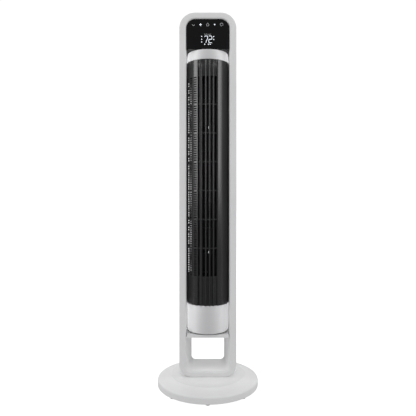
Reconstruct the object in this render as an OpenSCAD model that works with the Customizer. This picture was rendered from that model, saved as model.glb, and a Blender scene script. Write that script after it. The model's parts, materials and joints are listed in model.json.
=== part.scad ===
// Tower fan: a loop-shaped frame stands on a round base, and a round column swings inside it.
// A cross-flow impeller turns inside the column and blows through the louvres at the front.
// +Z is up and the front faces -Y. The origin is on the floor, below the column's axis.
// Sizes are in millimetres. Angles round the column count from the front, positive towards +X.

/* [Base] */
// Diameter of the round base
base_d = 277; // [270:1:285]
// Height of the rubber feet
foot_h = 4; // [3.5:0.5:5]
// Distance of the feet from the axis
foot_pitch_r = 129; // [124:1:130]
// Height of the raised middle of the base above the floor
base_top = 37.5; // [36:0.5:38]

/* [Frame] */
// Height of the whole fan
total_h = 1016; // [1010:1:1024]
// Outside width of the loop
frame_w = 153.4; // [150:0.2:158]
// Clear width of the opening inside the loop, at the front
open_w = 112.4; // [111:0.2:113]
// Front face of the loop
frame_front = -49; // [-50:0.5:-48]
// Rear face of the loop
frame_rear = 44; // [43:0.5:46]
// Thickness of the moulded walls
wall = 2.5; // [2.2:0.1:2.7]

/* [Column] */
// Outside radius of the black column
column_r = 57; // [56.5:0.1:57.2]
// Outside radius of the pale collar and skirt
trim_r = 54.5; // [54.2:0.1:54.6]
// Lower end of the skirt
skirt_z = 154.5; // [154:0.5:155]
// Joint between the skirt and the black column
column_z = 230; // [228:1:232]
// Joint between the black column and the collar
collar_z = 889; // [887:1:890]
// Upper end of the collar
collar_top = 915.6; // [915.2:0.1:915.8]

/* [Louvres and grille] */
// Height of the lowest cross rib
rib_z0 = 306.8; // [305:0.2:308]
// Distance between cross ribs
bay_h = 77.04; // [76.8:0.02:77.2]
// Number of bays between the cross ribs
bays = 7; // [7:1:7]
// Rows of intake slots in each bay
slot_rows = 12; // [8:1:13]
// Half of the outlet's angle
outlet_half = 27; // [25:0.5:28]

/* [Impeller] */
// Outside radius of the impeller
wheel_r = 43; // [41:0.5:43]
// Number of blades round the impeller
blade_count = 30; // [24:1:36]
// Number of sections along the impeller
section_count = 8; // [6:1:10]

/* [Swing drive] */
// Tooth size of the swing gears, as pitch diameter over teeth
gear_module = 1; // [1:1:1]
// Teeth on the column's gear
gear_teeth = 60; // [60:1:60]
// Teeth on the motor's pinion
pinion_teeth = 15; // [15:1:15]

/* [Hidden] */
$fn = 96;
eps = 0.01;          // overrun that keeps a cut from ending flush with a face
fit = 0.05;          // radial clearance of a running fit
white = "#e4e4e3";
black = "#161617";
steel = "#a9abad";

// Base
base_r = base_d / 2;
rim_top = 14.5;
step_r = 101;
step_z = 32;
plateau_r = 76;
lock_x = 30;
lock_y = 24;
plate_screw_r = 118;                  // distance of the bottom plate's screws from the axis
gland_z = 12.5;
gland_r = 5;
cord_r = 3.4;

// Frame loop
half_w = frame_w / 2;
half_open = open_w / 2;
pocket_half = 59.5;                   // half width of the pocket where the column bulges
pocket_y = 18;                        // the pocket runs from -pocket_y to pocket_y
split_y = -8;                         // joint between the front and the rear shell
frame_z0 = base_top;
floor_z = 53.5;
ceiling_z = 998.2;
top_r = 42;
bottom_r = 34;
open_top_r = 23;
open_bottom_r = 15;
bar_x = (half_w + pocket_half) / 2 + 1.3;   // the screws' place across a side bar
loom_x = pocket_half + wall + 1.6;
screw_rows = [110, 330, 560, 790, 960];

// Cross member and pivots
shelf_z = 143.5;
shelf_top = 151.5;
liner_rear_half = 45;
post_top = 172;
spindle_r = 9;
bush_r = 11;
gear_z = 177;
gear_h = 8;
plate_z = 188;
plate_h = 3.5;
motor_y = 29.5;
swing_motor_r = 14;
swing_motor_top = 171.5;
gear_r = gear_module * gear_teeth / 2;
pinion_y = gear_r + gear_module * pinion_teeth / 2;

// Head of the frame
head_z = 916.4;
head_floor = 2.6;
lens_t = 2.6;
board_y = frame_front + 10;
icon_z = 983;
icon_pitch = 18.6;
display_z = 945;
top_pivot_r = 8;

// Column
column_inner = column_r - wall;
trim_inner = trim_r - wall;
panel_left = -27.2;
panel_right = 100;
seam = 0.3;                            // angle between the front panel and the grille
cross_rib = 3;
slot_h = 3.2;
slot_pitch = (bay_h - cross_rib) / slot_rows;
wheel_z0 = 298;
wheel_z1 = 852;
hub_z = 289;
bearing_z = 855;
fan_motor_z = 238;
fan_motor_h = 42;
fan_motor_r = 38;
mount_plate_z = 284;
shaft_r = 4;

// ---------- shared shapes ----------

// A rectangle with round corners, standing in the XZ plane: half width, ends, corner radii.
module round_rect(half, z0, z1, r0, r1) {
    for (s = [-1, 1]) {
        translate([s * (half - r0), z0 + r0]) circle(r0);
        translate([s * (half - r1), z1 - r1]) circle(r1);
    }
    translate([-(half - r0), z0]) square([2 * (half - r0), r0 + eps]);
    translate([-(half - r1), z1 - r1 - eps]) square([2 * (half - r1), r1 + eps]);
    translate([-half, z0 + r0]) square([2 * half, z1 - r1 - z0 - r0]);
}

// The outline of the loop, drawn in by d.
module loop_outside(d = 0)
    round_rect(half_w - d, frame_z0 + d, total_h - d, bottom_r - d, top_r - d);

// The opening of the loop with the given half width, let out by d.
module loop_inside(half, d = 0) {
    extra = half - half_open;
    round_rect(half + d, floor_z - d, ceiling_z + extra + d, open_bottom_r + d,
        open_top_r + extra + d);
}

// A flat shape in XZ, thickened from y0 to y1.
module slab(y0, y1) rotate([90, 0, 0]) translate([0, 0, -y1]) linear_extrude(y1 - y0) children();

// A round bar along +Y from y0 to y1.
module bar_y(r, y0, y1) translate([0, y0, 0]) rotate([-90, 0, 0]) cylinder(r = r, h = y1 - y0);

// A curved wall round the column's axis between two angles.
module arc_wall(r0, r1, z0, z1, a0, a1)
    rotate([0, 0, a0 - 90]) rotate_extrude(angle = a1 - a0)
        translate([r0, z0]) square([r1 - r0, z1 - z0]);

module ring(r0, r1, z0, z1) translate([0, 0, z0]) difference() {
    cylinder(r = r1, h = z1 - z0);
    translate([0, 0, -1]) cylinder(r = r0, h = z1 - z0 + 2);
}

// Places its children at the given angle round the axis, at radius r.
module around(a, r) rotate([0, 0, a - 90]) translate([r, 0, 0]) children();

// A pan-head screw whose head rests at z = 0 and whose shank points down.
module screw(shank_r, length, head_r, head_h) {
    translate([0, 0, -length]) cylinder(r = shank_r, h = length, $fn = 24);
    difference() {
        cylinder(r = head_r, h = head_h, $fn = 32);
        for (a = [0, 90]) rotate([0, 0, a])
            translate([-head_r * 0.6, -0.4, head_h / 2]) cube([head_r * 1.2, 0.8, head_h]);
    }
}

function polar(r, a) = [r * cos(a), r * sin(a)];

// Points of an arc whose radius runs from r0 to r1 while its angle runs from a0 to a1.
function sweep(r0, r1, a0, a1, n) =
    [for (i = [0:n]) polar(r0 + (r1 - r0) * i / n, a0 + (a1 - a0) * i / n)];

function reversed(p) = [for (i = [len(p) - 1:-1:0]) p[i]];

// Involute spur gear outline with a tooth centred on the +X axis.
pressure = 20;
backlash = 0.28;
addendum = 0.8;
dedendum = 1.1;
function involute(r, rb) = r <= rb ? 0 : sqrt(pow(r / rb, 2) - 1) * 180 / PI - acos(rb / r);
function half_tooth(r, n) =
    let (rp = gear_module * n / 2, rb = rp * cos(pressure))
    90 / n + involute(rp, rb) - involute(r, rb) - backlash / (2 * rp) * 180 / PI;
function gear_radii(n) =
    let (rp = gear_module * n / 2)
    [rp - dedendum, rp - 0.35, rp, rp + 0.4, rp + addendum];
function gear_outline(n) = [
    for (t = [0:n - 1]) let (radii = gear_radii(n), a = t * 360 / n) each concat(
        [for (r = radii) polar(r, a - half_tooth(r, n))],
        [for (r = reversed(radii)) polar(r, a + half_tooth(r, n))])];

// ---------- base ----------

// Outer profile of the base from the rim's foot to the axis, drawn in by d.
function base_profile(d) = concat(
    [[base_r - d, foot_h], [base_r - d, rim_top]],
    [for (a = [15:15:60]) [base_r - 5 + (5 - d) * cos(a), rim_top + (5 - d) * sin(a)]],
    [[125, 24.4 - d], [114, 28.9 - d], [step_r + 1.5, step_z - 0.4 - d]],
    [for (i = [0:5]) let (t = i / 5)
        [step_r - (step_r - plateau_r) * t, base_top - d - (base_top - step_z) * pow(1 - t, 2)]]);

module base_shell() color(white) difference() {
    union() {
        rotate_extrude($fn = 128) difference() {
            polygon(concat([[0, foot_h]], base_profile(0), [[0, base_top]]));
            polygon(concat([[0, foot_h - 1]], [[base_r - wall, foot_h - 1]],
                base_profile(wall), [[0, base_top - wall]]));
        }
        for (x = [-lock_x, lock_x], y = [-lock_y, lock_y]) translate([x, y, 20])
            cylinder(r = 6, h = base_top - 21);
        for (a = [30:60:330]) around(a, plate_screw_r) translate([0, 0, 7])
            cylinder(r = 4, h = 17);
        around(180, base_r - 10) translate([-8, -9, foot_h + 2.7]) cube([9, 18, 14]);
    }
    for (x = [-lock_x, lock_x], y = [-lock_y, lock_y]) translate([x, y, 10])
        cylinder(r = 2.6, h = 40);
    for (a = [30:60:330]) around(a, plate_screw_r) translate([0, 0, 6]) cylinder(r = 1.5, h = 14);
    translate([0, 0, gland_z]) bar_y(gland_r, base_r - 25, base_r + 5);
}

module base_bottom_plate() color("#d9d9d8") difference() {
    translate([0, 0, foot_h]) cylinder(r = base_r - wall - 0.3, h = 2.5, $fn = 128);
    for (a = [30:60:330]) around(a, plate_screw_r) cylinder(r = 1.8, h = 10);
    for (x = [-lock_x, lock_x], y = [-lock_y, lock_y]) translate([x, y, 0])
        cylinder(r = 6, h = 10);
}

module base_weight() color("#55575a") difference() {
    translate([0, 0, 7]) cylinder(r = 108, h = 6);
    translate([0, 0, 6]) cylinder(r = 62, h = 8);
    translate([0, 75, 10]) cube([56, 80, 20], center = true);
}

module rubber_feet() color("#2b2b2c")
    for (a = [0:45:315]) around(a, foot_pitch_r) cylinder(r = 6, h = foot_h);

module base_plate_screws() color(steel)
    for (a = [30:60:330]) around(a, plate_screw_r) translate([0, 0, foot_h]) mirror([0, 0, 1])
        screw(1.45, 13, 3.4, 1.8);

module frame_lock_screws() color(steel)
    for (x = [-lock_x, lock_x], y = [-lock_y, lock_y]) translate([x, y, 20])
        mirror([0, 0, 1]) screw(2.4, 26, 5, 3);

// ---------- frame ----------

module frame_front_bezel() color(white) difference() {
    union() {
        slab(frame_front, frame_front + wall) difference() {
            loop_outside();
            loop_inside(half_open);
        }
        slab(frame_front, split_y) difference() {
            loop_outside();
            loop_outside(wall);
        }
        slab(frame_front, -pocket_y) difference() {
            loop_inside(half_open, wall);
            loop_inside(half_open);
        }
        for (x = [-bar_x, bar_x], z = screw_rows) translate([x, 0, z])
            bar_y(4, frame_front + 1, split_y);
        for (x = [-lock_x, lock_x]) translate([x, -lock_y, frame_z0 + 1])
            cylinder(r = 5, h = 12);
    }
    for (x = [-bar_x, bar_x], z = screw_rows) translate([x, 0, z])
        bar_y(1.5, split_y - 16, split_y + 1);
    for (x = [-lock_x, lock_x]) translate([x, -lock_y, frame_z0 - 1])
        cylinder(r = 2.5, h = 11);
}

module frame_rear_shell() color(white) difference() {
    union() {
        slab(frame_rear - wall, frame_rear) difference() {
            loop_outside();
            loop_inside(half_open);
        }
        slab(split_y, frame_rear) difference() {
            loop_outside();
            loop_outside(wall);
        }
        slab(-pocket_y, pocket_y) difference() {
            loop_inside(pocket_half, wall);
            loop_inside(pocket_half);
        }
        slab(pocket_y, pocket_y + wall) difference() {
            loop_inside(pocket_half, wall);
            loop_inside(half_open);
        }
        slab(pocket_y, frame_rear) difference() {
            loop_inside(half_open, wall);
            loop_inside(half_open);
        }
        for (x = [-bar_x, bar_x], z = screw_rows) translate([x, 0, z])
            bar_y(4.2, split_y, frame_rear - 1);
        for (x = [-lock_x, lock_x]) translate([x, lock_y, frame_z0 + 1])
            cylinder(r = 5, h = 12);
    }
    for (x = [-bar_x, bar_x], z = screw_rows) translate([x, 0, z]) {
        bar_y(1.8, split_y - 1, 10);
        bar_y(3.1, split_y + 4, frame_rear + 1);
    }
    for (x = [-lock_x, lock_x]) translate([x, lock_y, frame_z0 - 1])
        cylinder(r = 2.5, h = 11);
}

module frame_screws() color(steel)
    for (x = [-bar_x, bar_x], z = screw_rows) translate([x, split_y + 4, z])
        rotate([-90, 0, 0]) screw(1.45, 18, 2.9, 2);

// Two tapered cheeks narrow the carrying window towards the rear.
module window_liner() color(white) for (s = [0, 1]) mirror([s, 0, 0])
    intersection() {
        translate([0, 0, floor_z]) linear_extrude(shelf_z - floor_z) polygon([
            [half_open, frame_front + 3], [liner_rear_half, frame_rear - wall],
            [liner_rear_half, frame_rear], [half_open, frame_rear],
            [half_open, frame_rear - wall], [liner_rear_half + wall, frame_rear - wall],
            [half_open, frame_front + 26]]);
        slab(frame_front, frame_rear) loop_inside(half_open, -0.05);
    }

// ---------- cross member and lower pivot ----------

module pivot_shelf() color(white) difference() {
    union() {
        translate([-half_open, frame_front, shelf_z])
            cube([open_w, frame_rear - frame_front, shelf_top - shelf_z]);
        translate([-pocket_half, -pocket_y, shelf_z])
            cube([2 * pocket_half, 2 * pocket_y, shelf_top - shelf_z]);
        cylinder_at(bush_r + 3, shelf_top, post_top);
        for (x = [-17.5, 17.5]) translate([x, motor_y, shelf_top - 1])
            cylinder(r = 3.4, h = swing_motor_top - shelf_top);
    }
    translate([-half_open + wall, frame_front + wall, shelf_z - 1])
        cube([open_w - 2 * wall, frame_rear - frame_front - 2 * wall, shelf_top - shelf_z - wall + 1]);
    cylinder_at(bush_r, shelf_z - 1, post_top + 1);
    for (x = [-17.5, 17.5]) translate([x, motor_y, swing_motor_top - 11])
        cylinder(r = 1.5, h = 12);
}

module cylinder_at(r, z0, z1) translate([0, 0, z0]) cylinder(r = r, h = z1 - z0);

module shelf_cover() color(white) difference() {
    union() {
        translate([-half_open + wall, frame_front + wall, shelf_z])
            cube([open_w - 2 * wall, frame_rear - frame_front - 2 * wall, 2]);
        for (x = [-40, 40], y = [-30, 30]) translate([x, y, shelf_z])
            cylinder(r = 3.5, h = shelf_top - wall - shelf_z);
    }
    for (x = [-40, 40], y = [-30, 30]) translate([x, y, shelf_z - 1]) {
        cylinder(r = 1.5, h = 8);
        cylinder(r = 3, h = 2.2);
    }
}

module shelf_cover_screws() color(steel)
    for (x = [-40, 40], y = [-30, 30]) translate([x, y, shelf_z + 1.2])
        mirror([0, 0, 1]) screw(1.45, 4.1, 2.7, 1.1);

module lower_pivot_bush() color("#e9e6dc") ring(spindle_r + fit, bush_r, shelf_top - 6, post_top);

module thrust_washer() color("#d8d5ca") ring(spindle_r + 0.3, bush_r + 3, post_top, post_top + 1.2);

// ---------- swing motor ----------

module swing_motor() color(steel) difference() {
    union() {
        translate([0, motor_y, shelf_top]) cylinder(r = swing_motor_r, h = 20);
        translate([0, motor_y, swing_motor_top - 0.5 - eps]) {
            translate([-17.5, -3.5, 0]) cube([35, 7, 0.8]);
            for (x = [-17.5, 17.5]) translate([x, 0, 0]) cylinder(r = 3.5, h = 0.8);
        }
        translate([0, pinion_y, swing_motor_top]) cylinder(r = 4.5, h = 1.5);
    }
    translate([0, pinion_y, shelf_top + 2]) cylinder(r = 2.5 + fit, h = 30);
    for (x = [-17.5, 17.5]) translate([x, motor_y, swing_motor_top - 3])
        cylinder(r = 1.8, h = 6);
}

module swing_motor_screws() color("#8d8f91")
    for (x = [-17.5, 17.5]) translate([x, motor_y, swing_motor_top + 0.3])
        screw(1.45, 9, 2.7, 1.5);

module swing_motor_shaft() color(steel)
    translate([0, pinion_y, shelf_top + 3]) cylinder(r = 2.5, h = gear_z + gear_h - shelf_top - 4);

module swing_pinion() color("#efece2") translate([0, pinion_y, gear_z]) difference() {
    linear_extrude(gear_h) rotate([0, 0, 270 - 180 / pinion_teeth])
        polygon(gear_outline(pinion_teeth));
    translate([0, 0, -1]) cylinder(r = 2.5, h = gear_h + 2);
}

// ---------- electrics ----------

module power_board() color("#2f6b3d") {
    translate([-26, 66, 9]) cube([52, 46, 1.6]);
    translate([-20, 72, 10.6]) cube([16, 18, 10]);
    translate([4, 72, 10.6]) cube([14, 12, 9]);
    translate([8, 98, 10.6]) cylinder(r = 4.5, h = 9);
}

module cord_gland() color("#303031") difference() {
    translate([0, 0, gland_z]) {
        bar_y(gland_r, base_r - 19, base_r + 0.5);
        bar_y(gland_r + 0.7, base_r - 21, base_r - 18.1);
    }
    translate([0, 0, gland_z]) bar_y(cord_r, base_r - 25, base_r + 5);
}

module wiring_loom() color("#3a3a3c")
    translate([-loom_x, 12, floor_z + 7]) cylinder(r = 1.4, h = ceiling_z - floor_z - 16, $fn = 16);

// ---------- head ----------

module head_outline(half, d = 0) {
    extra = half - half_open;
    round_rect(half - d, head_z - 30, ceiling_z + extra - d, 1, open_top_r + extra - d);
}

module head_part(half, y0, y1) slab(y0, y1) intersection() {
    difference() {
        head_outline(half);
        head_outline(half, wall);
    }
    translate([-100, head_z]) square([200, 200]);
}

module top_housing() color("#1d1d1e") difference() {
    union() {
        head_part(half_open - 0.1, frame_front + 3, frame_rear - wall);
        head_part(pocket_half - 0.1, -pocket_y, pocket_y);
        translate([-half_open + 0.1, frame_front + 3, head_z])
            cube([open_w - 0.2, frame_rear - frame_front - wall - 3, head_floor]);
        translate([-pocket_half + 0.1, -pocket_y, head_z])
            cube([2 * pocket_half - 0.2, 2 * pocket_y, head_floor]);
        cylinder_at(top_pivot_r + 5, head_z, head_z + 14);
        for (x = [-40, 40], z = [930, 985]) translate([x, 0, z])
            bar_y(4, frame_rear - 20, frame_rear - wall);
        for (z = [930, 985]) translate([-half_open + 6, frame_rear - 16, z - 2])
            cube([open_w - 12, 4, 4]);
    }
    cylinder_at(top_pivot_r + 2, head_z - 1, head_z + 15);
    for (x = [-40, 40], z = [930, 985]) translate([x, 0, z])
        bar_y(1.5, frame_rear - 16, frame_rear + 1);
}

module top_rear_cover() color(white) difference() {
    slab(frame_rear - wall, frame_rear) intersection() {
        head_outline(half_open - 0.1);
        translate([-100, head_z]) square([200, 200]);
    }
    for (x = [-40, 40], z = [930, 985]) translate([x, 0, z])
        bar_y(1.8, frame_rear - 5, frame_rear + 1);
    for (z = [948:6:972]) translate([-24, frame_rear - 5, z]) cube([48, 8, 2.2]);
}

module top_cover_screws() color(steel)
    for (x = [-40, 40], z = [930, 985]) translate([x, frame_rear, z])
        rotate([-90, 0, 0]) screw(1.45, 12, 2.9, 1.2);

module control_panel_lens() color(black) slab(frame_front + 0.4, frame_front + 0.4 + lens_t)
    intersection() {
        head_outline(half_open - 0.1);
        translate([-100, head_z]) square([200, 200]);
    }

// Printed marks of the five touch keys, a hair proud of the panel.
module touch_icons() color("#d8dadc") for (i = [-2:2])
    translate([i * icon_pitch, 0, icon_z]) slab(frame_front + 0.1, frame_front + 0.4)
        difference() {
            circle(2.6, $fn = 32);
            circle(1.8, $fn = 32);
        }

module display_module() color("#e8f0f4") difference() {
    translate([-17, frame_front + 3.4, display_z - 13]) cube([34, 5.6, 30]);
    translate([-14, frame_front + 2.4, display_z - 10]) cube([28, 2.2, 24]);
}

module control_board() color("#2f6b3d") union() {
    translate([-48, board_y, 924]) cube([96, 1.6, 64]);
    translate([-30, board_y + 1.6, 934]) cube([16, 2, 16]);
    translate([14, board_y + 1.6, 930]) cube([20, 9, 12]);
}

module touch_springs() color("#c9b26a") for (i = [-2:2])
    translate([i * icon_pitch, 0, icon_z]) difference() {
        bar_y(4, frame_front + 3.2, board_y);
        bar_y(3.4, frame_front + 3, board_y + 1);
    }

module ir_receiver() color("#202024") translate([27, frame_front + 3.2, 935]) cube([6, 6.6, 7]);

module buzzer() color("#141414") translate([36, 0, 958]) difference() {
    bar_y(6, board_y + 1.6, board_y + 10);
    bar_y(1, board_y + 8, board_y + 11);
}

module top_pivot_bush() color("#e9e6dc")
    ring(top_pivot_r + fit, top_pivot_r + 2, head_z, head_z + 14);

// ---------- column shells ----------

// Angles where the outlet's gaps start and end, between the upright ribs.
gap_edges = [[-outlet_half - 1, -22.8], [-16, -7.6], [-3.8, 2.9], [7, 13.8],
    [17.7, outlet_half - 1]];

module column_front_panel() color(black) difference() {
    arc_wall(column_inner, column_r, column_z, collar_z, panel_left, panel_right);
    for (b = [0:bays - 1], g = gap_edges)
        arc_wall(column_inner - 1, column_r + 1, rib_z0 + b * bay_h + cross_rib / 2,
            rib_z0 + (b + 1) * bay_h - cross_rib / 2, g[0], g[1]);
}

// Angles where each column of slots starts and ends, from the right side round to the left.
slot_spans = [for (k = [14:-1:0]) [319.5 - 15 * k, 329 - 15 * k]];
// Rows of slots that run together as one opening.
joined = 6;

module column_intake_grille() color(black) difference() {
    arc_wall(column_inner, column_r, column_z, collar_z, panel_right + seam,
        360 + panel_left - seam);
    for (b = [0:bays - 1], k = [0:joined:slot_rows - 1], s = slot_spans) {
        z = rib_z0 + b * bay_h + cross_rib / 2 + k * slot_pitch + (slot_pitch - slot_h) / 2;
        arc_wall(column_inner - 1, column_r + 1, z, z + slot_h + (joined - 1) * slot_pitch,
            s[0], s[1]);
    }
}

module top_collar() color("#dcdcdd") difference() {
    union() {
        ring(trim_inner, trim_r, collar_z - 10, collar_top);
        cylinder_at(trim_inner + 0.5, collar_top - wall, collar_top);
    }
    cylinder_at(6, collar_top - 5, collar_top + 1);
    for (a = [45:90:315]) around(a, 14) translate([0, 0, collar_top - 5]) cylinder(r = 1.5, h = 8);
}

module bottom_skirt() color("#dcdcdd") {
    ring(trim_inner, trim_r, skirt_z, column_z + 10);
    for (a = [45:90:315]) around(a, trim_inner - 3) translate([0, 0, plate_z + plate_h])
        cylinder(r = 3.4, h = 8);
}

// ---------- column, inside ----------

// The scroll guides the air from the intake round to the outlet's right edge.
module air_duct_scroll() color("#232324") translate([0, 0, wheel_z0 - 2])
    linear_extrude(wheel_z1 - wheel_z0 + 4) polygon(concat(
        sweep(54, 45, outlet_half + 0.5 - 90, 26, 14),
        reversed(sweep(54.4, 46.6, outlet_half + 2.2 - 90, 26, 14))));

module air_duct_tongue() color("#232324") translate([0, 0, wheel_z0 - 2])
    linear_extrude(wheel_z1 - wheel_z0 + 4) rotate(panel_left - 91.5) polygon([
        [54.4, -0.8], [54.4, 0.8], [46.4, 0.8], [45, 2.2], [44.4, 1.2], [46, -0.8]]);

module fan_motor() color("#77797c") difference() {
    union() {
        cylinder_at(fan_motor_r, fan_motor_z, fan_motor_z + fan_motor_h);
        cylinder_at(12, fan_motor_z - 5, fan_motor_z + fan_motor_h + 3);
        for (a = [60:120:300]) around(a, 41) cylinder_at(5, 262, 265);
    }
    cylinder_at(shaft_r + fit, fan_motor_z - 2, mount_plate_z + 2);
    for (a = [60:120:300]) around(a, 43) cylinder_at(1.8, 255, 270);
}

module motor_mount_plate() color("#c8c9ca") {
    difference() {
        cylinder_at(column_inner - 0.1, mount_plate_z, mount_plate_z + 2.5);
        cylinder_at(14, mount_plate_z - 1, mount_plate_z + 4);
    }
    for (a = [60:120:300]) around(a, 43) {
        cylinder_at(3.5, 270, mount_plate_z + 1);
        cylinder_at(1.4, 266, 271);
    }
    for (a = [0:120:240]) around(a, 47)
        cylinder_at(3.5, plate_z + plate_h, mount_plate_z + 1);
}

module motor_mount_rubbers() color("#2b2b2c") for (a = [60:120:300]) around(a, 43)
    ring(1.85, 4.5, 265, 270);

module motor_mount_screws() color(steel) for (a = [60:120:300]) around(a, 43)
    translate([0, 0, 262]) mirror([0, 0, 1]) screw(1.3, 4, 3.2, 1.6);

module top_bearing_plate() color("#c8c9ca") difference() {
    union() {
        cylinder_at(column_inner - 0.1, bearing_z, bearing_z + 2.5);
        cylinder_at(12.5, bearing_z, bearing_z + 14);
        for (a = [0:60:300]) around(a, 11) translate([0, -1, bearing_z + 2])
            cube([41, 2, 5]);
    }
    cylinder_at(10, bearing_z + 2, bearing_z + 15);
    cylinder_at(6, bearing_z - 1, bearing_z + 3);
}

module top_bearing_rubber() color("#2b2b2c") ring(7, 10, bearing_z + 2.4, bearing_z + 13);

module top_bearing_bush() color("#b5893f") ring(shaft_r + fit, 7, bearing_z + 2.4, bearing_z + 13);

module column_top_pivot() color("#d8d5ca") difference() {
    union() {
        cylinder_at(top_pivot_r, collar_top, head_z + 18);
        cylinder_at(18, collar_top - wall - 3, collar_top - wall);
        cylinder_at(6, collar_top - wall - 1, collar_top + 1);
    }
    cylinder_at(4, collar_top - 10, head_z + 20);
    for (a = [45:90:315]) around(a, 14) cylinder_at(1.5, collar_top - 8, collar_top - 2);
}

module column_base_plate() color("#c8c9ca") difference() {
    cylinder_at(trim_inner - 0.1, plate_z, plate_z + plate_h);
    cylinder_at(5, plate_z - 1, plate_z + 5);
    for (a = [45:90:315]) around(a, trim_inner - 3) cylinder_at(1.6, plate_z - 1, plate_z + 5);
    for (a = [20:40:340]) around(a, 36) cylinder_at(5, plate_z - 1, plate_z + 5);
}

module column_spindle() color(steel) ring(5, spindle_r, shelf_top - 4, plate_z);

module swing_gear() color("#efece2") difference() {
    union() {
        translate([0, 0, gear_z]) linear_extrude(gear_h) polygon(gear_outline(gear_teeth));
        cylinder_at(15, post_top + 1.5, plate_z);
    }
    cylinder_at(spindle_r, gear_z - 5, plate_z + 1);
    difference() {
        cylinder_at(26, gear_z - 1, gear_z + 2.5);
        cylinder_at(15, gear_z - 2, gear_z + 3);
    }
}

module column_screws() color(steel) {
    for (a = [45:90:315]) around(a, trim_inner - 3) translate([0, 0, plate_z])
        mirror([0, 0, 1]) screw(1.4, 3, 2.8, 1.4);
    for (a = [45:90:315]) around(a, 14) translate([0, 0, collar_top - wall - 3])
        mirror([0, 0, 1]) screw(1.4, 4.5, 2.6, 1.4);
}

// ---------- impeller ----------

section_h = (wheel_z1 - wheel_z0) / section_count;
blade_in = 34;
blade_t = 0.7;

// A blade's outline: its chord leans forward towards the rim.
function blade_side(s) = [for (i = [0:4]) let (t = i / 4, r = blade_in + (wheel_r - 0.3 - blade_in) * t)
    polar(r, 13 * t * t + s * blade_t / r * 90 / PI)];

module impeller_wheel() color("#3a3b3d") {
    translate([0, 0, wheel_z0]) linear_extrude(wheel_z1 - wheel_z0)
        for (k = [0:blade_count - 1]) rotate(k * 360 / blade_count)
            polygon(concat(blade_side(-1), reversed(blade_side(1))));
    for (k = [1:section_count - 1])
        ring(blade_in - 2, wheel_r, wheel_z0 + k * section_h - 1, wheel_z0 + k * section_h + 1);
    ring(14, wheel_r, wheel_z0, wheel_z0 + 2.5);
    ring(shaft_r, wheel_r, wheel_z1 - 2.5, wheel_z1);
}

module impeller_hub() color("#2b2b2c") difference() {
    union() {
        cylinder_at(14, wheel_z0, wheel_z0 + 14);
        cylinder_at(10, hub_z, wheel_z0);
    }
    cylinder_at(shaft_r, hub_z - 1, wheel_z0 + 10);
    translate([0, -16, wheel_z0 - 4.5]) rotate([-90, 0, 0]) cylinder(r = 1.5, h = 16);
}

module impeller_top_pin() color(steel) {
    cylinder_at(shaft_r, wheel_z1 - 12, bearing_z + 11);
    cylinder_at(7, wheel_z1 - 12, wheel_z1 - 2.5);
}

module motor_shaft() color(steel) cylinder_at(shaft_r, fan_motor_z - 1, wheel_z0 + 9);

module hub_set_screw() color("#4a4b4d") translate([0, -10, wheel_z0 - 4.5])
    rotate([-90, 0, 0]) cylinder(r = 1.45, h = 6, $fn = 24);

// ---------- drawing ----------

base_shell();
base_bottom_plate();
base_weight();
rubber_feet();
base_plate_screws();
frame_lock_screws();
frame_front_bezel();
frame_rear_shell();
frame_screws();
window_liner();
pivot_shelf();
shelf_cover();
shelf_cover_screws();
lower_pivot_bush();
thrust_washer();
swing_motor();
swing_motor_screws();
power_board();
cord_gland();
wiring_loom();
top_housing();
top_rear_cover();
top_cover_screws();
control_panel_lens();
touch_icons();
display_module();
control_board();
touch_springs();
ir_receiver();
buzzer();
top_pivot_bush();
column_front_panel();
column_intake_grille();
top_collar();
bottom_skirt();
air_duct_scroll();
air_duct_tongue();
fan_motor();
motor_mount_plate();
motor_mount_rubbers();
motor_mount_screws();
top_bearing_plate();
top_bearing_rubber();
top_bearing_bush();
column_top_pivot();
column_base_plate();
column_spindle();
swing_gear();
column_screws();
impeller_wheel();
impeller_hub();
impeller_top_pin();
motor_shaft();
hub_set_screw();
swing_pinion();
swing_motor_shaft();
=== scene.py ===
"""Tower fan: detailed surfaces, materials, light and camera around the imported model."""

import json
import math

import bmesh
import bpy
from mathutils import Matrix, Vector


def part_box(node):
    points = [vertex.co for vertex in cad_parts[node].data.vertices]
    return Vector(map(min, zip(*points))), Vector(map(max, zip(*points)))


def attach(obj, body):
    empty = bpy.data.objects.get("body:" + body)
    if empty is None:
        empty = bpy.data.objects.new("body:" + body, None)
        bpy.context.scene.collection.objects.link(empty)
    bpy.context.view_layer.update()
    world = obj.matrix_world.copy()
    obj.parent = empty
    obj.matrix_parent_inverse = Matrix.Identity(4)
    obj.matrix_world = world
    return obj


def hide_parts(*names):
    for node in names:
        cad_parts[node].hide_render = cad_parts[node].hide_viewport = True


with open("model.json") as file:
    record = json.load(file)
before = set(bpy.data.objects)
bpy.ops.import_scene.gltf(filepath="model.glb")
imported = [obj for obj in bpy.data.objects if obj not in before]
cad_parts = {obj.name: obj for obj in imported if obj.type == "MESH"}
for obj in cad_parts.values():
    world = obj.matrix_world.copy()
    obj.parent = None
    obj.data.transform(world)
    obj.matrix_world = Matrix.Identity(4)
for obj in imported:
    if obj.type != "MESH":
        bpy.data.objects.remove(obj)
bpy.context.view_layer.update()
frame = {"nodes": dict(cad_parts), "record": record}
MM = 0.001


# ---------- places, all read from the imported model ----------

def span(node, axis):
    """Lowest and highest value of a node along one axis, 0 for X, 1 for Y, 2 for Z."""
    low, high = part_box(node)
    return low[axis], high[axis]


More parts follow.
